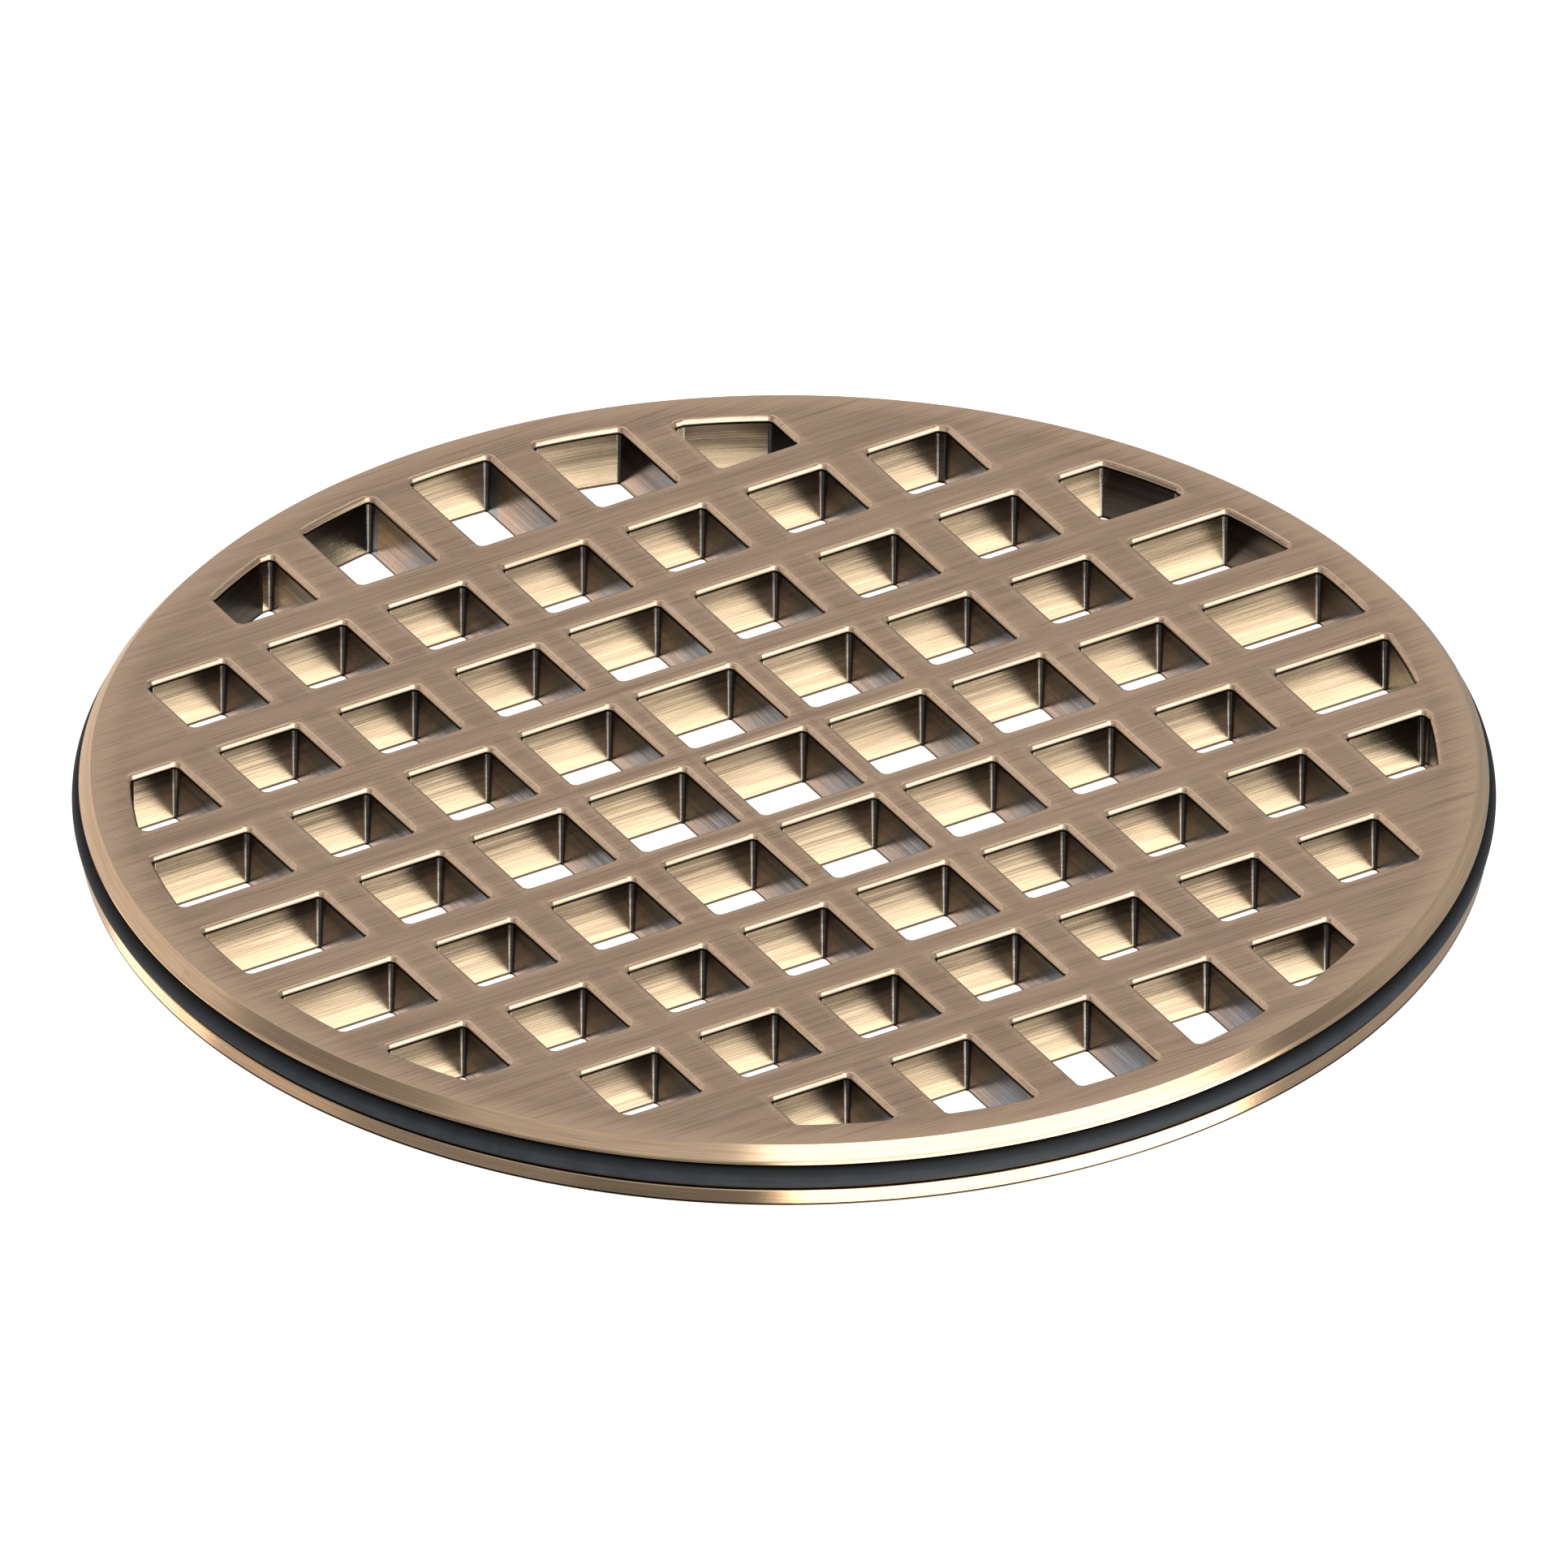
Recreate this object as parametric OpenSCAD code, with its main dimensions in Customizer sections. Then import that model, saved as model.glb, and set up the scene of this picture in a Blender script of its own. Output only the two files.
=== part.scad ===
/* [Plate] */
// Diameter over the two flanges of the rim
plate_d = 108; // [100:0.5:140]
// Thickness from the underside to the top face
plate_t = 5; // [4.4:0.1:8]
// Height of the bevel that runs round the top face
bevel_h = 0.85; // [0.3:0.05:0.9]
// Width of the bevel that runs round the top face
bevel_w = 0.9; // [0.3:0.05:1]
// Size of the break on the rim's other edges
edge_break = 0.15; // [0.05:0.05:0.25]

/* [Seal] */
// Diameter of the seal ring's round section
ring_d = 2; // [1.4:0.1:2.4]
// How far the seal ring stands out past the flanges
ring_proud = 0.52; // [0.2:0.02:0.7]
// Room between the seal ring and each side of its groove
ring_side_gap = 0.1; // [0.05:0.05:0.2]
// Room between the seal ring and the floor of its groove
ring_seat_gap = 0.02; // [0.01:0.01:0.05]

/* [Holes] */
// Distance between the centres of neighbouring holes
pitch = 10.7; // [10.2:0.1:14]
// Solid margin between the field of holes and the rim's outside
rim_w = 4.05; // [3.2:0.05:8]
// Width of the centre hole
centre_w = 9; // [5:0.05:9]
// Width of the holes one step from the centre
near_w = 8.55; // [5:0.05:9]
// Width of the holes two steps from the centre
mid_w = 8.1; // [5:0.05:9]
// Width of the holes three steps from the centre
far_w = 7.35; // [5:0.05:9]
// Width of all the holes farther out
outer_w = 6.9; // [5:0.05:9]
// Radius of the walls' upright corners
corner_r = 0.4; // [0.25:0.05:1]
// Size of the eased lip at the top of each hole
lip = 0.4; // [0.2:0.05:0.5]
// How much each wall closes in from its lip down to the underside
draft = 0.15; // [0:0.05:0.2]

/* [Hidden] */
$fn = 48;
cut = 0.5;
run_on = 0.1;
plate_r = plate_d / 2;
field_r = plate_r - rim_w;
groove_w = ring_d + 2 * ring_side_gap;
groove_r = plate_r + ring_proud - ring_d - ring_seat_gap;
flange_t = (plate_t - groove_w) / 2;
steps = floor(field_r / pitch);
widths = [centre_w, near_w, mid_w, far_w, outer_w];

// A position carries a hole when its centre lies in the round field.
function carries_hole(i, j) = norm([i, j]) * pitch < field_r;

// The width depends on the number of steps along the rows and columns from the centre.
function hole_w(i, j) = widths[min(abs(i) + abs(j), len(widths) - 1)];

// How far a hole reaches from its own centre towards the side dir of one axis.
// A hole with no neighbour there, whose far corner stops short of the field's
// edge, is drawn out until the edge trims it.
function reach(i, j, own, dir, neighbour) =
    let (half = hole_w(i, j) / 2)
    let (far_corner = [abs(i) * pitch + half, abs(j) * pitch + half])
    own * dir > 0 && !neighbour && norm(far_corner) < field_r
        ? field_r - abs(own) * pitch + cut
        : half;

// Does the lip of the hole cross the edge of the field?
function is_trimmed(x0, x1, y0, y1) =
    norm([max(-x0, x1), max(-y0, y1)]) + lip > field_r;

// Half section of a hole that is at wide under its lip: a wall with a little
// draft, which leans out into the lip. Both ends run on past the plate.
module half_section(at) {
    lip_z = plate_t - lip;
    foot = at - draft * (1 + run_on);
    polygon([
        [0, -lip_z * run_on],
        [foot, -lip_z * run_on],
        [at, lip_z],
        [at + lip + cut, plate_t + cut],
        [0, plate_t + cut]
    ]);
}

module full_section(a, b) {
    middle = (a + b) / 2;
    translate([middle, 0])
        for (side = [0, 1])
            mirror([side, 0])
                half_section(b - middle);
}

module hole(x0, x1, y0, y1) {
    translate([0, y1 - corner_r, 0])
        rotate([90, 0, 0])
            linear_extrude(y1 - y0 - 2 * corner_r)
                full_section(x0, x1);
    translate([x0 + corner_r, 0, 0])
        rotate([90, 0, 90])
            linear_extrude(x1 - x0 - 2 * corner_r)
                full_section(y0, y1);
    for (x = [x0 + corner_r, x1 - corner_r], y = [y0 + corner_r, y1 - corner_r])
        translate([x, y, 0])
            rotate_extrude()
                half_section(corner_r);
}

module trimmed_hole(i, j) {
    x0 = i * pitch - reach(i, j, i, -1, carries_hole(i - 1, j));
    x1 = i * pitch + reach(i, j, i, 1, carries_hole(i + 1, j));
    y0 = j * pitch - reach(i, j, j, -1, carries_hole(i, j - 1));
    y1 = j * pitch + reach(i, j, j, 1, carries_hole(i, j + 1));
    if (is_trimmed(x0, x1, y0, y1)) {
        intersection() {
            hole(x0, x1, y0, y1);
            rotate_extrude()
                half_section(field_r);
        }
    } else {
        hole(x0, x1, y0, y1);
    }
}

// Half section of the disc, with the seal's groove between two flanges.
module disc_section() {
    groove_top = plate_t - flange_t;
    polygon([
        [0, 0],
        [plate_r - edge_break, 0],
        [plate_r, edge_break],
        [plate_r, flange_t - edge_break],
        [plate_r - edge_break, flange_t],
        [groove_r, flange_t],
        [groove_r, groove_top],
        [plate_r - edge_break, groove_top],
        [plate_r, groove_top + edge_break],
        [plate_r, plate_t - bevel_h],
        [plate_r - bevel_w, plate_t],
        [0, plate_t]
    ]);
}

module grate_plate() {
    color([0.64, 0.53, 0.44])
        difference() {
            rotate_extrude()
                disc_section();
            for (i = [-steps : steps], j = [-steps : steps])
                if (carries_hole(i, j))
                    trimmed_hole(i, j);
        }
}

module seal_ring() {
    color([0.05, 0.05, 0.06])
        translate([0, 0, plate_t / 2])
            rotate_extrude()
                translate([plate_r + ring_proud - ring_d / 2, 0])
                    circle(d = ring_d);
}

grate_plate();
seal_ring();
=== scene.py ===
"""Round brushed-bronze drain grate cover with a rubber seal ring."""
import math

import bpy
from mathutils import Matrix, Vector
from mathutils.geometry import delaunay_2d_cdt


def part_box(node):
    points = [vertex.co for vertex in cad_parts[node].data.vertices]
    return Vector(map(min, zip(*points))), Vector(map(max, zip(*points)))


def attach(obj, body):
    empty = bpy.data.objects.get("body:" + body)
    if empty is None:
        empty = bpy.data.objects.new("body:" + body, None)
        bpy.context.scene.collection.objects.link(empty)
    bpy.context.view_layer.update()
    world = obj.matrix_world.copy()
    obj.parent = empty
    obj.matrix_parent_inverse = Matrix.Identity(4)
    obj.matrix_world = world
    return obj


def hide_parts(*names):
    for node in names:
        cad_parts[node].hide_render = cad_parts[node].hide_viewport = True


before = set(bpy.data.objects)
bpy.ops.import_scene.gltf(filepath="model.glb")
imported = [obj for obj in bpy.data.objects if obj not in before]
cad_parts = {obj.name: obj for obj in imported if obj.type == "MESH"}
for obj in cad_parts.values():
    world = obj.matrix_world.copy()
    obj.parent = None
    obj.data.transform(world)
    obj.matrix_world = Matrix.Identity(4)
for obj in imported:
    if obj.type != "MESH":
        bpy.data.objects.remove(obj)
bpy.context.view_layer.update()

MM = 0.001

# ---------------------------------------------------------------- sizes, in millimetres
plate_lo, plate_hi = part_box("grate_plate")
seal_lo, seal_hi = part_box("seal_ring")
PLATE_R = (plate_hi.x - plate_lo.x) / 2 / MM
PLATE_T = (plate_hi.z - plate_lo.z) / MM
SEAL_R = (seal_hi.z - seal_lo.z) / 2 / MM
SEAL_OUT = (seal_hi.x - seal_lo.x) / 2 / MM

# the rim
FLANGE_T = 1.4          # each flange
GROOVE_TOP = PLATE_T - FLANGE_T
GROOVE_R = 52.5         # floor of the seal's groove
GROOVE_FILLET_R = 0.15  # rounds in the groove's corners
FLAT_R = PLATE_R - 0.9  # where the flat top ends and the bevel starts
BEVEL_DROP = 0.88       # the slope of the bevel: this far down, while it runs out
BEVEL_RUN = 0.76        # by this much
BEVEL_EDGE_R = 0.05     # break between the flat top and the bevel
SHOULDER_R = 0.6        # round that takes the bevel into the upper flange
SHOULDER_DROP = 1.28    # from the flat top down to that round's centre
EDGE_R = 0.12           # break on the flanges' other edges
RIM_SHADE_Z = 0.24      # painted shade darkens the rim below this height

# the holes
PITCH = 10.7
FIELD_R = 49.95                       # the circle that trims the outer holes
WIDTHS = (9.0, 8.55, 8.1, 7.35, 6.9)  # by steps from the centre
STEPS = 4
CORNER_R = 0.4                        # upright corners of the walls
LIP_R = 0.55                          # round at the top of each hole
DRAFT = 0.15                          # how much a wall closes in towards its foot
FOOT_R = 0.1                          # round at the foot of each wall
RUN_OUT = 0.5                         # how far a drawn-out hole passes the trimming circle

# how finely the rounds are divided
RIM_SEGMENTS = 384
SEAL_AROUND = 40
CORNER_TURN = math.radians(10)
ARC_TURN = math.radians(1.5)
TURN_DIGITS = 9
SAME = 1e-6                           # lengths that differ by less are the same

# material slots of the plate
FACE, WALL, RIM, EDGE, LIP, NOOK, FLANK = range(7)


# ---------------------------------------------------------------- outlines of the holes
def carries_hole(i, j):
    return math.hypot(i, j) * PITCH < FIELD_R


def hole_box(i, j):
    """The walls of a hole just under its lip, before the field's edge trims them."""
    half = WIDTHS[min(abs(i) + abs(j), STEPS)] / 2
    far_corner = math.hypot(abs(i) * PITCH + half, abs(j) * PITCH + half)

    def reach(own, direction, neighbour):
        if own * direction > 0 and not neighbour and far_corner < FIELD_R:
            return FIELD_R - abs(own) * PITCH + RUN_OUT
        return half

    return (
        i * PITCH - reach(i, -1, carries_hole(i - 1, j)),
        i * PITCH + reach(i, 1, carries_hole(i + 1, j)),
        j * PITCH - reach(j, -1, carries_hole(i, j - 1)),
        j * PITCH + reach(j, 1, carries_hole(i, j + 1)),
    )


def trimmed_box(x0, x1, y0, y1, edge_r):
    """A box's corners inside the circle edge_r, and the points where its sides cross it."""
    spots = [(x, y) for x in (x0, x1) for y in (y0, y1) if math.hypot(x, y) <= edge_r]
    for x in (x0, x1):
        if abs(x) < edge_r:
            y = math.sqrt(edge_r**2 - x * x)
            spots += [(x, s * y) for s in (-1, 1) if y0 < s * y < y1]
    for y in (y0, y1):
        if abs(y) < edge_r:
            x = math.sqrt(edge_r**2 - y * y)
            spots += [(s * x, y) for s in (-1, 1) if x0 < s * x < x1]
    return spots


def arc_turns(ends, middle):
    """Even steps along the part of the circle between the outermost ends, past middle."""
    ends = sorted(ends, key=lambda a: (a - middle + math.pi) % (2 * math.pi))
    span = (ends[-1] - ends[0]) % (2 * math.pi)
    count = max(2, round(span / ARC_TURN))
    return [(ends[0] + span * k / count) % (2 * math.pi) for k in range(count + 1)]


def hole_outline(i, j):
    """[(x, y, nx, ny)] round a hole, counter-clockwise: points of the outline drawn in by
    CORNER_R, each with the direction in which the wall lies from it."""
    x0, x1, y0, y1 = hole_box(i, j)
    x0, x1, y0, y1 = x0 + CORNER_R, x1 - CORNER_R, y0 + CORNER_R, y1 - CORNER_R
    edge_r = FIELD_R - CORNER_R
    spots = trimmed_box(x0, x1, y0, y1, edge_r)
    ends = [math.atan2(y, x) % (2 * math.pi) for x, y in spots
            if abs(math.hypot(x, y) - edge_r) < SAME]

    turns = [k * math.pi / 2 for k in range(4)]
    turns += [k * CORNER_TURN for k in range(round(2 * math.pi / CORNER_TURN))]
    if ends:
        turns += arc_turns(ends, math.atan2(j, i))

    outline = []
    for turn in sorted({round(turn, TURN_DIGITS) for turn in turns}):
        nx, ny = math.cos(turn), math.sin(turn)
        on_arc = (edge_r * nx, edge_r * ny)
        if ends and x0 <= on_arc[0] <= x1 and y0 <= on_arc[1] <= y1:
            best = [on_arc]
        else:
            far = max(x * nx + y * ny for x, y in spots)
            best = [s for s in spots if s[0] * nx + s[1] * ny > far - SAME]
            best.sort(key=lambda s: -s[0] * ny + s[1] * nx)
            best = [best[0], best[-1]] if len(best) > 1 else best
        outline += [(x, y, nx, ny) for x, y in best]
    return outline


# ---------------------------------------------------------------- sections
# A section is [(offset, height, normal offset, normal height)].
def rounded(x, z, radius, start, end, count):
    """A round about the centre x, z, from normal angle start to end in degrees."""
    turns = [math.radians(start + (end - start) * k / count) for k in range(count + 1)]
    return [(x + radius * math.cos(a), z + radius * math.sin(a), math.cos(a), math.sin(a))
            for a in turns]


def hollowed(x, z, radius, start, end, count):
    """The same with the metal outside the round."""
    turns = [math.radians(start + (end - start) * k / count) for k in range(count + 1)]
    return [(x - radius * math.cos(a), z - radius * math.sin(a), math.cos(a), math.sin(a))
            for a in turns]


def at_corner(make, x, z, radius, start, end, count):
    """A round that eases the section's corner x, z."""
    middle, half = math.radians((start + end) / 2), math.radians((end - start) / 2)
    away = radius / math.cos(half) * (1 if make is hollowed else -1)
    return make(x + math.cos(middle) * away, z + math.sin(middle) * away,
                radius, start, end, count)


# ---------------------------------------------------------------- meshes
class Builder:
    """Collects points with their own normals, and faces with a material slot."""

    def __init__(self):
        self.points, self.normals, self.faces, self.slots = [], [], [], []

    def point(self, x, y, z, nx, ny, nz):
        self.points.append((x * MM, y * MM, z * MM))
        self.normals.append(Vector((nx, ny, nz)).normalized())
        return len(self.points) - 1

    def around(self, r, z, c, s, turn):
        """A section's point, turned about the upright axis."""
        return self.point(r * math.cos(turn), r * math.sin(turn), z,
                          c * math.cos(turn), c * math.sin(turn), s)

    def face(self, ids, slot):
        self.faces.append(tuple(ids))
        self.slots.append(slot)

    def strip(self, a, b, slot, others=None):
        """Faces between two rings of points. others gives another slot to some of them."""
        for k in range(len(a)):
            m = (k + 1) % len(a)
            self.face((a[k], a[m], b[m], b[k]), (others or {}).get(k, slot))

    def piece(self, name):
        data = bpy.data.meshes.new(name)
        data.from_pydata(self.points, [], self.faces)
        data.update()
        for polygon, slot in zip(data.polygons, self.slots):
            polygon.material_index = slot
            polygon.use_smooth = True
        data.normals_split_custom_set_from_vertices([tuple(n) for n in self.normals])
        return linked(name, data)


def linked(name, data):
    """An object in the scene."""
    piece = bpy.data.objects.new(name, data)
    bpy.context.scene.collection.objects.link(piece)
    return piece


def is_inside(x, y, ring):
    hit = False
    for k, p in enumerate(ring):
        q = ring[k - 1]
        if (p.y > y) != (q.y > y) and x < (q.x - p.x) * (y - p.y) / (q.y - p.y) + p.x:
            hit = not hit
    return hit


def fill_flat(builder, up, outer, holes, slot):
    """A flat face between the outer ring of points and the rings of the holes."""
    order, edges, spots = [], [], []
    for ring in [outer, *holes]:
        start = len(order)
        order += ring
        edges += [(start + k, start + (k + 1) % len(ring)) for k in range(len(ring))]
        spots.append([Vector((builder.points[i][0] / MM, builder.points[i][1] / MM))
                      for i in ring])
    verts, _, faces, origins, _, _ = delaunay_2d_cdt(
        [spot for ring in spots for spot in ring], edges, [], 0, SAME)
    ids = [order[o[0]] for o in origins]
    boxes = [(min(p.x for p in ring), max(p.x for p in ring),
              min(p.y for p in ring), max(p.y for p in ring), ring) for ring in spots[1:]]
    for face in faces:
        x = sum(verts[k].x for k in face) / len(face)
        y = sum(verts[k].y for k in face) / len(face)
        if any(x0 < x < x1 and y0 < y < y1 and is_inside(x, y, ring)
               for x0, x1, y0, y1, ring in boxes):
            continue
        loop = [ids[k] for k in face]
        area = sum(verts[face[k - 1]].x * verts[face[k]].y
                   - verts[face[k]].x * verts[face[k - 1]].y for k in range(len(face)))
        if (area > 0) != up:
            loop.reverse()
        builder.face(loop, slot)


# ---------------------------------------------------------------- the plate's holes
plate = Builder()

# a hole's section runs from the top face over the lip and down the wall to the underside
wall_t = PLATE_T - LIP_R
lip = rounded(LIP_R, wall_t, LIP_R, 90, 180, 9)
slope = math.atan(DRAFT / wall_t)
wall = [(-DRAFT * k, wall_t * (1 - k), -math.cos(slope), math.sin(slope))
        for k in (0.2, 0.4, 0.6, 0.8, 0.942)]
foot = rounded(FOOT_R - DRAFT, FOOT_R, FOOT_R, 180, 270, 3)
section = lip + wall + foot

# two bands of the lip get painted highlight, and the strips just under the lip and on the foot's
# round get painted shade
HIGHLIGHT_STRIPS = {1, len(lip) - 5, len(lip) - 4}
SHADE_STRIPS = {len(lip) - 3, len(lip) - 2, *range(len(lip) + len(wall) - 1, len(section))}
SIDEWAYS = 0.99  # a wall that faces left or right has at least this much of its normal on X


def hole_slot(k):
    if k in SHADE_STRIPS:
        return EDGE
    if k in HIGHLIGHT_STRIPS:
        return LIP
    return FACE if k < len(lip) - 1 else WALL


top_rings, foot_rings = [], []
for i in range(-STEPS, STEPS + 1):
    for j in range(-STEPS, STEPS + 1):
        if not carries_hole(i, j):
            continue
        outline = hole_outline(i, j)
        # walls that face left or right take the flank finish with painted reflection, the upright
        # corners the nook finish with painted shade
        others = {k: FLANK for k, spot in enumerate(outline) if abs(spot[2]) > SIDEWAYS}
        others |= {k: NOOK for k, spot in enumerate(outline)
                   if spot[:2] == outline[(k + 1) % len(outline)][:2]}
        rings = [[plate.point(x + nx * (CORNER_R + out), y + ny * (CORNER_R + out), z,
                              nx * c, ny * c, s) for x, y, nx, ny in outline]
                 for out, z, c, s in section]
        for k, (a, b) in enumerate(zip(rings, rings[1:])):
            plate.strip(a, b, hole_slot(k), others if hole_slot(k) == WALL else None)
        top_rings.append(rings[0])
        foot_rings.append(rings[-1])

# ---------------------------------------------------------------- the plate's rim
# from the flat top out over the bevel, round both flanges and the groove, to the underside
bevel_normal = math.degrees(math.atan2(BEVEL_RUN, BEVEL_DROP))
rim = at_corner(rounded, FLAT_R, PLATE_T, BEVEL_EDGE_R, 90, bevel_normal, 3)
rim += rounded(PLATE_R - SHOULDER_R, PLATE_T - SHOULDER_DROP, SHOULDER_R, bevel_normal, 0, 6)
rim += at_corner(rounded, PLATE_R, GROOVE_TOP, EDGE_R, 0, -90, 4)
rim += at_corner(hollowed, GROOVE_R, GROOVE_TOP, GROOVE_FILLET_R, -90, 0, 3)
rim += at_corner(hollowed, GROOVE_R, FLANGE_T, GROOVE_FILLET_R, 0, 90, 3)
rim += at_corner(rounded, PLATE_R, FLANGE_T, EDGE_R, 90, 0, 4)
# from here down into the bottom edge's round the rim gets painted shade
shade_start = len(rim)
rim += [(PLATE_R, RIM_SHADE_Z, 1.0, 0.0)]
rim += at_corner(rounded, PLATE_R, 0, EDGE_R, 0, -90, 4)
shade_end = len(rim) - 2

rim_turns = [2 * math.pi * k / RIM_SEGMENTS for k in range(RIM_SEGMENTS)]
rings = [[plate.around(*spot, turn) for turn in rim_turns] for spot in rim]
for k, (a, b) in enumerate(zip(rings, rings[1:])):
    plate.strip(b, a, EDGE if shade_start <= k < shade_end else RIM)

fill_flat(plate, True, rings[0], top_rings, FACE)
fill_flat(plate, False, rings[-1], foot_rings, FACE)

plate_piece = plate.piece("grate_plate_finished")
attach(plate_piece, "root")
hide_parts("grate_plate")

# ---------------------------------------------------------------- the seal ring
seal = Builder()
seal_section = rounded(SEAL_OUT - SEAL_R, PLATE_T / 2, SEAL_R, 0, 360, SEAL_AROUND)[:-1]
rings = [[seal.around(*spot, turn) for spot in seal_section] for turn in rim_turns]
for k, ring in enumerate(rings):
    seal.strip(rings[(k + 1) % RIM_SEGMENTS], ring, 0)

seal_piece = seal.piece("seal_ring_finished")
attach(seal_piece, "root")
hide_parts("seal_ring")


# ---------------------------------------------------------------- materials
class Nodes:
    """Short names for building the node tree of a material or a world."""

    def __init__(self, owner):
        owner.use_nodes = True
        self.tree = owner.node_tree
        self.tree.nodes.clear()

    def add(self, kind, inputs=None, **settings):
        node = self.tree.nodes.new(kind)
        for name, value in settings.items():
            setattr(node, name, value)
        for key, value in (inputs or {}).items():
            if isinstance(value, bpy.types.NodeSocket):
                self.tree.links.new(value, node.inputs[key])
            else:
                node.inputs[key].default_value = value
        return node

    def math(self, operation, *values, clamp=False):
        return self.add("ShaderNodeMath", dict(enumerate(values)), operation=operation,
                        use_clamp=clamp).outputs[0]

    def length(self, x, y):
        return self.math("SQRT", self.math("ADD", self.math("MULTIPLY", x, x),
                                           self.math("MULTIPLY", y, y)))

    def place(self):
        return self.add("ShaderNodeTexCoord").outputs["Object"]

    def split(self, vector):
        return self.add("ShaderNodeSeparateXYZ", {0: vector}).outputs

    def joined(self, x, y):
        return self.add("ShaderNodeCombineXYZ", {0: x, 1: y, 2: 0.0}).outputs[0]

    def noise(self, vector, detail=2.0, rough=0.5):
        return self.add("ShaderNodeTexNoise", {
            "Vector": vector, "Scale": 1.0, "Detail": detail, "Roughness": rough,
        }).outputs["Fac"]

    def scaled(self, vector, x, y, z):
        return self.add("ShaderNodeVectorMath", {0: vector, 1: (x, y, z)},
                        operation="MULTIPLY").outputs[0]

    def tinted(self, colour, tint):
        return self.add("ShaderNodeVectorMath", {0: colour, 1: tint},
                        operation="MULTIPLY").outputs[0]

    def spread(self, value, low, high, to_low, to_high):
        return self.add("ShaderNodeMapRange", {
            "Value": value, "From Min": low, "From Max": high,
            "To Min": to_low, "To Max": to_high,
        }).outputs["Result"]

    def relief(self, height, strength):
        return self.add("ShaderNodeBump", {
            "Height": height, "Strength": strength, "Distance": RELIEF_DEPTH,
        }).outputs["Normal"]

    def ramp(self, value, *stops):
        node = self.add("ShaderNodeValToRGB", {"Fac": value})
        ramp = node.color_ramp
        while len(ramp.elements) > 1:
            ramp.elements.remove(ramp.elements[-1])
        for k, (at, colour) in enumerate(stops):
            element = ramp.elements[0] if k == 0 else ramp.elements.new(at)
            element.position, element.color = at, (*colour, 1)
        return node.outputs["Color"]


# dark and light tone of each finish
FACE_TONES = ((0.47, 0.320, 0.220), (0.84, 0.590, 0.415))
# painted shade: the walls' tones are darker copies of the bronze, standing in for the shade inside
# the holes
WALL_SHADED_TONES = ((0.080, 0.062, 0.045), (0.270, 0.222, 0.166))
# painted shade in the holes' upright corners
NOOK_SHADED_TONES = ((0.10, 0.093, 0.086), (0.25, 0.235, 0.22))
RIM_TONES = ((0.60, 0.425, 0.275), (0.96, 0.690, 0.455))
# painted highlight on bands of each hole's lip
LIP_HIGHLIGHT_TONES = ((0.46, 0.350, 0.245), (0.84, 0.650, 0.470))
# painted shade: near-black tones under the lips, on the walls' feet and at the foot of the rim
EDGE_SHADE_TONES = ((0.02, 0.015, 0.010), (0.06, 0.045, 0.032))
RUBBER_TONES = ((0.021, 0.025, 0.030), (0.035, 0.042, 0.049))
METAL_TONES_AT = (0.34, 0.66)  # where the two tones lie on the pattern
RUBBER_TONES_AT = (0.30, 0.75)

# painted reflection: tints along each wall that faces left or right, and where they start and end
FLANK_REFLECTION_BLUE, FLANK_REFLECTION_GREY, FLANK_REFLECTION_ROSE = (0.78, 1.10, 1.85), (0.92, 1.05, 1.42), (1.28, 1.20, 1.34)
FLANK_START, FLANK_END = -2.6 * MM, 3.0 * MM

# patterns to the metre: brush lines along and twice across, then the even ones
FINE_LINES, DEEP_LINES = (150, 6400, 6400), (90, 8200, 8200)
BROAD_LINES, HAIR_LINES = (42, 1300, 1300), (80, 7000, 7000)
PATCHES, DUST, GRAIN = (60, 60, 60), (420, 420, 420), (5200, 5200, 5200)
FINE_SHARE, BROAD_SHARE, PATCH_SHARE = 0.62, 0.38, 0.10
HAIR_SHARE, SHEEN_SHARE = 0.20, 0.20
RELIEF_DEPTH = 0.00002
ROUGHNESS_SPREAD = 0.05

# how far from a hole's lip and from the bevel the face gets painted highlight
HOLE_SHEEN, RIM_SHEEN = 0.45 * MM, 2.3 * MM
HOLE_SHEEN_SHARE = 0.55
RAMP_TOP = 20  # millimetres, wider than any hole, because a ramp holds no more than 1


def in_cell(n, axis):
    """Which row of holes a place belongs to, and how far it is from the row's middle."""
    cell = n.math("ROUND", n.math("MULTIPLY", axis, 1 / (PITCH * MM)))
    return cell, n.math("SUBTRACT", axis, n.math("MULTIPLY", cell, PITCH * MM))


def edge_sheen(n, place):
    """0 on the open face, up to 1 beside the holes and the bevel, where the face gets painted
    highlight.
    """
    x, y, _ = n.split(place)
    (column, dx), (row, dy) = in_cell(n, x), in_cell(n, y)
    steps = n.math("ADD", n.math("ABSOLUTE", column), n.math("ABSOLUTE", row))
    steps = n.math("MULTIPLY", steps, 1 / STEPS, clamp=True)
    width = n.ramp(steps, *[(k / STEPS, (w / RAMP_TOP,) * 3) for k, w in enumerate(WIDTHS)])
    half = n.math("MULTIPLY", width, RAMP_TOP / 2 * MM)
    away = n.math("MAXIMUM", n.math("ABSOLUTE", dx), n.math("ABSOLUTE", dy))
    gap = n.math("SUBTRACT", away, half)
    across = n.length(x, y)
    has_hole = n.math("LESS_THAN", n.length(column, row), FIELD_R / PITCH)
    in_field = n.math("MULTIPLY", n.math("LESS_THAN", across, FIELD_R * MM), has_hole)
    beside = n.math("MULTIPLY", in_field, n.spread(
        gap, LIP_R * MM + HOLE_SHEEN, LIP_R * MM, 0.0, HOLE_SHEEN_SHARE))
    by_rim = n.spread(across, FLAT_R * MM - RIM_SHEEN, FLAT_R * MM, 0.0, 1.0)
    return n.math("MAXIMUM", beside, by_rim)


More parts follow.
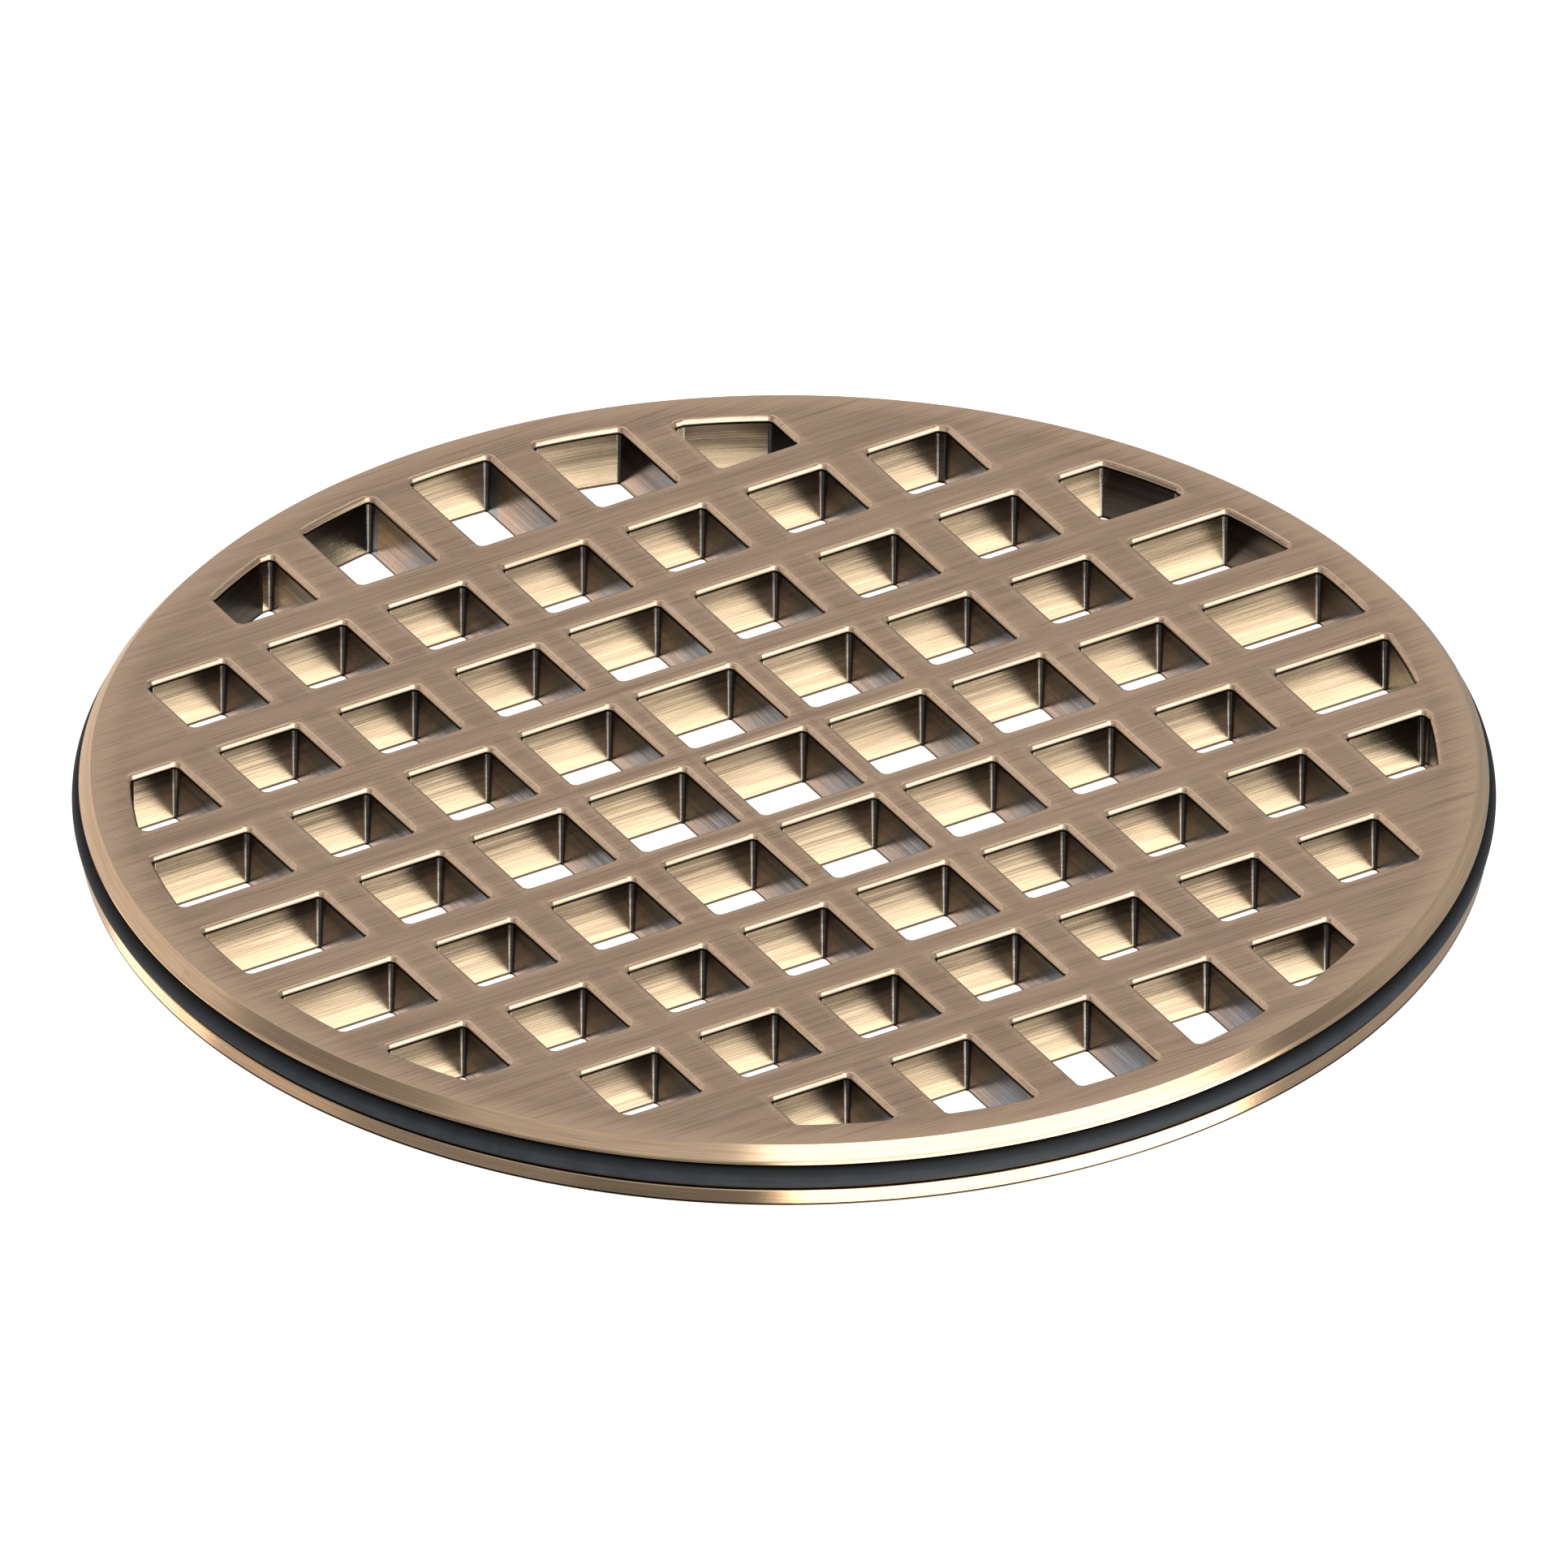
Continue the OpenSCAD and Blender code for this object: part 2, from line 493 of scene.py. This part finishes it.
def flank_reflection_tint(n, place):
    """Painted reflection on the walls that face left or right, turning from blue to rosy along the
    wall.
    """
    _, along = in_cell(n, n.split(place)[1])
    return n.ramp(n.spread(along, FLANK_START, FLANK_END, 0.0, 1.0),
                  (0.0, FLANK_REFLECTION_BLUE), (0.45, FLANK_REFLECTION_GREY), (1.0, FLANK_REFLECTION_ROSE))


def bronze(name, layout, tones, roughness, bump, stretch=0.0, hairs_and_sheen=False, deep_lines_and_shade=False,
           flank_reflection=False):
    """Brushed bronze. layout gives the coordinates in which the brush lines run along X."""
    material = bpy.data.materials.new(name)
    n = Nodes(material)
    place = n.place()
    lines = layout(n, place)
    fine = n.noise(n.scaled(lines, *(DEEP_LINES if deep_lines_and_shade else FINE_LINES)),
                   detail=4.0, rough=0.75)
    broad = n.noise(n.scaled(lines, *BROAD_LINES), detail=3.0)
    patch = n.noise(n.scaled(place, *PATCHES), detail=1.0)
    tone = n.math("ADD", n.math("MULTIPLY", fine, FINE_SHARE),
                  n.math("MULTIPLY", broad, BROAD_SHARE))
    tone = n.math("ADD", tone, n.math("MULTIPLY", n.math("SUBTRACT", patch, 0.5), PATCH_SHARE))
    shade = tone
    if hairs_and_sheen:
        hairs = n.noise(n.scaled(lines, *HAIR_LINES))
        shade = n.math("SUBTRACT", shade, n.spread(hairs, 0.58, 0.68, 0.0, HAIR_SHARE))
        # painted highlight: the face is lighter beside the holes and the bevel
        shade = n.math("ADD", shade, n.math("MULTIPLY", edge_sheen(n, place), SHEEN_SHARE))
    if deep_lines_and_shade:  # painted shade: darker at the top of the wall, lighter towards its foot
        level = n.split(place)[2]
        shade = n.math("ADD", shade, n.spread(level, 0.3 * MM, 4.4 * MM, 0.17, -0.16))
    colour = n.ramp(shade, *zip(METAL_TONES_AT, tones))
    # painted reflection on the walls that face left or right
    if flank_reflection:
        colour = n.tinted(colour, flank_reflection_tint(n, place))
    inputs = {
        "Base Color": colour, "Metallic": 1.0, "Normal": n.relief(tone, bump),
        "Roughness": n.spread(tone, 0.3, 0.7, roughness + ROUGHNESS_SPREAD,
                              roughness - ROUGHNESS_SPREAD),
    }
    if stretch:  # the brush lines draw highlights out
        tangent = n.add("ShaderNodeTangent", direction_type="RADIAL", axis="Z").outputs[0]
        inputs |= {"Anisotropic": stretch, "Anisotropic Rotation": 0.25, "Tangent": tangent}
    shader = n.add("ShaderNodeBsdfPrincipled", inputs)
    n.add("ShaderNodeOutputMaterial", {"Surface": shader.outputs[0]})
    return material


def along_x(n, place):
    return place


def level_lines(n, place):
    """Lines that run level round every upright surface."""
    x, y, z = n.split(place)
    return n.joined(n.math("ADD", x, y), z)


def round_lines(n, place):
    """Lines that run round the rim."""
    x, y, z = n.split(place)
    along = n.math("MULTIPLY", n.math("ARCTAN2", y, x), PLATE_R * MM)
    return n.joined(along, n.math("SUBTRACT", z, n.length(x, y)))


# in the order of the plate's material slots
for finish in (
        bronze("bronze_face", along_x, FACE_TONES, 0.30, 0.18, hairs_and_sheen=True),
        # the wall, edge, nook and flank finishes carry painted shade, the lip finish painted
        # highlight, and the flank finish also painted reflection
        bronze("bronze_wall_shaded", level_lines, WALL_SHADED_TONES, 0.19, 0.80, 0.85, deep_lines_and_shade=True),
        bronze("bronze_rim", round_lines, RIM_TONES, 0.20, 0.35, 0.85),
        bronze("bronze_edge_shaded", level_lines, EDGE_SHADE_TONES, 0.30, 0.20),
        bronze("bronze_lip_highlight", level_lines, LIP_HIGHLIGHT_TONES, 0.17, 0.20, 0.6),
        bronze("bronze_nook_shaded", level_lines, NOOK_SHADED_TONES, 0.20, 0.20, 0.6),
        bronze("bronze_flank_reflection", level_lines, WALL_SHADED_TONES, 0.19, 0.55, 0.85, deep_lines_and_shade=True, flank_reflection=True)):
    plate_piece.data.materials.append(finish)


def rubber():
    material = bpy.data.materials.new("rubber")
    n = Nodes(material)
    place = n.place()
    grain = n.noise(n.scaled(place, *GRAIN), detail=3.0, rough=0.6)
    dust = n.noise(n.scaled(place, *DUST), detail=4.0, rough=0.6)
    colour = n.ramp(dust, *zip(RUBBER_TONES_AT, RUBBER_TONES))
    # painted shade: the seal gets darker towards its top and bottom, where the groove's two sides
    # close over it
    away = n.math("ABSOLUTE", n.math("SUBTRACT", n.split(place)[2], PLATE_T / 2 * MM))
    groove_shade = n.spread(away, 0.25 * MM, 0.88 * MM, 1.0, 0.08)
    colour = n.add("ShaderNodeVectorMath", {0: colour, "Scale": groove_shade},
                   operation="SCALE").outputs[0]
    shader = n.add("ShaderNodeBsdfPrincipled", {
        "Base Color": colour, "Roughness": n.spread(dust, 0.3, 0.7, 0.52, 0.66),
        "Normal": n.relief(grain, 0.25), "Specular IOR Level": 0.2,
    })
    n.add("ShaderNodeOutputMaterial", {"Surface": shader.outputs[0]})
    return material


seal_piece.data.materials.append(rubber())


# ---------------------------------------------------------------- floor and cards
FLOOR_Z, FLOOR_HALF = -0.0002, 3
VIEW_TURN, VIEW_RISE = -31.0, 32.7
CARD_DEPTH = 0.2
CARD_STEPS = 24


def studio_piece(name, points, faces, inputs):
    """A piece of the studio, with the inputs of its shader."""
    data = bpy.data.meshes.new(name)
    data.from_pydata(points, [], faces)
    material = bpy.data.materials.new(name)
    n = Nodes(material)
    shader = n.add("ShaderNodeBsdfPrincipled", inputs)
    n.add("ShaderNodeOutputMaterial", {"Surface": shader.outputs[0]})
    data.materials.append(material)
    return linked(name, data)


def card(name, left, right, near, far, colour, glow):
    """A level card below the floor that only reflections see, between two turns in degrees to
    the right of the viewer's side."""
    points, faces = [], []
    for k in range(CARD_STEPS + 1):
        a = math.radians(VIEW_TURN + left + (right - left) * k / CARD_STEPS)
        points += [(r * math.sin(a), -r * math.cos(a), -CARD_DEPTH) for r in (near, far)]
        if k:
            faces.append((2 * k - 2, 2 * k - 1, 2 * k + 1, 2 * k))
    piece = studio_piece(name, points, faces, {
        "Base Color": (0.02, 0.02, 0.02, 1), "Roughness": 1.0,
        "Emission Color": (*colour, 1), "Emission Strength": glow,
    })
    piece.visible_camera = piece.visible_diffuse = piece.visible_shadow = False


corners = [(-FLOOR_HALF, -FLOOR_HALF), (FLOOR_HALF, -FLOOR_HALF),
           (FLOOR_HALF, FLOOR_HALF), (-FLOOR_HALF, FLOOR_HALF)]
floor = studio_piece("floor", [(x, y, FLOOR_Z) for x, y in corners], [(0, 1, 2, 3)], {
    "Base Color": (0.9, 0.9, 0.9, 1), "Roughness": 0.9,
    "Emission Color": (1, 1, 1, 1), "Emission Strength": 0.8,
})
floor.visible_glossy = False

# the dark card keeps the holes' corners deep, and the pale tan one lights the feet of the
# walls that face left
card("dark_card", -32, 42, 0.255, 0.362, (0, 0, 0), 0.0)
card("pale_card", -134, -102, 0.300, 0.420, (0.92, 0.80, 0.68), 2.5)

# ---------------------------------------------------------------- camera
VIEW_WIDTH = 0.12
CAMERA_AIM = Vector((0, 0, 0.0037))
CAMERA_AWAY = 0.6

view_turn, view_rise = math.radians(VIEW_TURN), math.radians(VIEW_RISE)
back = Vector((math.sin(view_turn) * math.cos(view_rise),
               -math.cos(view_turn) * math.cos(view_rise), math.sin(view_rise)))
camera_data = bpy.data.cameras.new("camera")
camera_data.type = "ORTHO"
camera_data.ortho_scale = VIEW_WIDTH
camera_data.clip_start, camera_data.clip_end = 0.01, 10
camera = linked("camera", camera_data)
camera.location = CAMERA_AIM + back * CAMERA_AWAY
camera.rotation_mode = "QUATERNION"
camera.rotation_quaternion = (-back).to_track_quat("-Z", "Y")
bpy.context.scene.camera = camera

# ---------------------------------------------------------------- studio light
SKY_TOP = 6.0  # brighter than every stop below, because a ramp holds no more than 1
PLAIN, PINK = (1.0, 1.0, 0.99), (1.0, 0.96, 0.94)
TAN, WARM = (1.0, 0.89, 0.80), (1.0, 0.93, 0.80)

world = bpy.data.worlds.new("studio")
bpy.context.scene.world = world
n = Nodes(world)
heading = n.add("ShaderNodeTexCoord").outputs["Generated"]
turned = n.add("ShaderNodeVectorRotate", {"Vector": heading, "Angle": -view_turn},
               rotation_type="Z_AXIS").outputs[0]
right, ahead, rise = n.split(turned)
round_turn = n.math("ARCTAN2", right, n.math("MULTIPLY", ahead, -1.0))
round_turn = n.spread(round_turn, -math.pi, math.pi, 0.0, 1.0)


def azimuth_ramp(*stops):
    """Light round the horizon: (degrees to the right of the viewer's side, brightness, tint)."""
    return n.ramp(round_turn, *[
        ((degrees + 180) / 360, tuple(c * power / SKY_TOP for c in tint))
        for degrees, power, tint in stops])


def blend(low, high, start, end):
    """From one ramp to the next as the heading rises from sine start to sine end."""
    return n.add("ShaderNodeMix", {0: n.spread(rise, start, end, 0.0, 1.0), 6: low, 7: high},
                 data_type="RGBA").outputs[2]


below = azimuth_ramp(
    (-180, 0.80, TAN), (-131, 0.80, TAN), (-122, 0.70, TAN), (-82, 0.56, TAN),
    (-74, 0.27, PLAIN), (-2, 0.26, PLAIN), (3, 5.3, WARM), (77, 5.3, WARM),
    (82, 0.36, PLAIN), (180, 0.40, PLAIN),
)
level = azimuth_ramp(
    (-180, 0.45, PLAIN), (-148, 0.72, PINK), (-104, 0.72, PINK), (-92, 0.40, PLAIN),
    (-10, 0.55, PLAIN), (8, 0.85, PLAIN), (74, 0.85, PLAIN), (86, 0.45, PLAIN),
    (180, 0.45, PLAIN),
)
above = azimuth_ramp(
    (-180, 0.47, PLAIN), (-158, 0.50, PLAIN), (-146, 0.74, PINK), (-104, 0.74, PINK),
    (-96, 0.20, PLAIN), (-62, 0.20, PLAIN), (-54, 0.60, PLAIN), (-8, 0.65, PLAIN),
    (0, 2.5, PLAIN), (76, 2.5, PLAIN), (84, 0.20, PLAIN), (104, 0.22, PLAIN),
    (116, 0.40, PLAIN), (180, 0.47, PLAIN),
)
dome = azimuth_ramp(
    (-180, 0.47, PLAIN), (-168, 0.50, PLAIN), (-160, 1.1, PLAIN), (-148, 1.1, PLAIN),
    (-140, 0.45, PLAIN), (-54, 0.50, PLAIN), (-8, 0.60, PLAIN), (0, 2.5, PLAIN),
    (74, 2.5, PLAIN), (82, 0.20, PLAIN), (104, 0.24, PLAIN), (140, 0.40, PLAIN),
    (148, 1.1, PLAIN), (160, 1.1, PLAIN), (168, 0.50, PLAIN), (180, 0.47, PLAIN),
)
around = blend(below, level, -0.12, 0.06)
around = blend(around, above, 0.30, 0.40)
around = blend(around, dome, 0.64, 0.72)

# past the floor, the camera sees plain white
sky = n.add("ShaderNodeBackground", {"Color": around, "Strength": SKY_TOP})
plain = n.add("ShaderNodeBackground", {"Color": (1, 1, 1, 1), "Strength": 1.0})
seen = n.add("ShaderNodeLightPath").outputs["Is Camera Ray"]
both = n.add("ShaderNodeMixShader", {0: seen, 1: sky.outputs[0], 2: plain.outputs[0]})
n.add("ShaderNodeOutputWorld", {"Surface": both.outputs[0]})

bpy.context.scene.view_settings.view_transform = "Standard"
